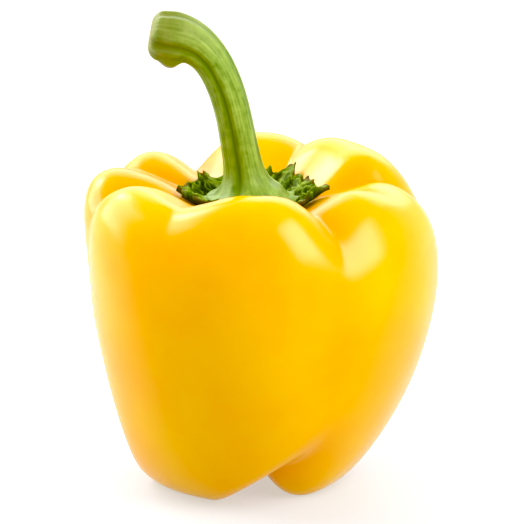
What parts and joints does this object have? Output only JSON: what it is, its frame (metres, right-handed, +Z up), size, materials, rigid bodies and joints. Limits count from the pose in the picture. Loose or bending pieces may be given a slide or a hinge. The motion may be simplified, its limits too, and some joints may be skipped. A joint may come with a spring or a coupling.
{
  "type": "bell pepper",
  "caption": "Ripe yellow bell pepper standing upright on its lobe tips, with a blocky lobed body, a sunken green calyx and a ridged, curved stalk.",
  "frame": {"origin": "on the surface that the pepper stands on, under the middle of the fruit's bounding box", "axes": "+Z up through the pepper to the stalk, -Y towards the viewer of the picture, +X to the viewer's right; the stalk bends towards -X"},
  "size_m": [0.085, 0.087, 0.1148],
  "materials": {
    "skin": "smooth, waxy, glossy yellow skin",
    "green_tissue": "satin green plant tissue with lengthwise ridges"
  },
  "bodies": {
    "root": {"fruit": "skin", "stalk": "green_tissue"}
  },
  "joints": []
}
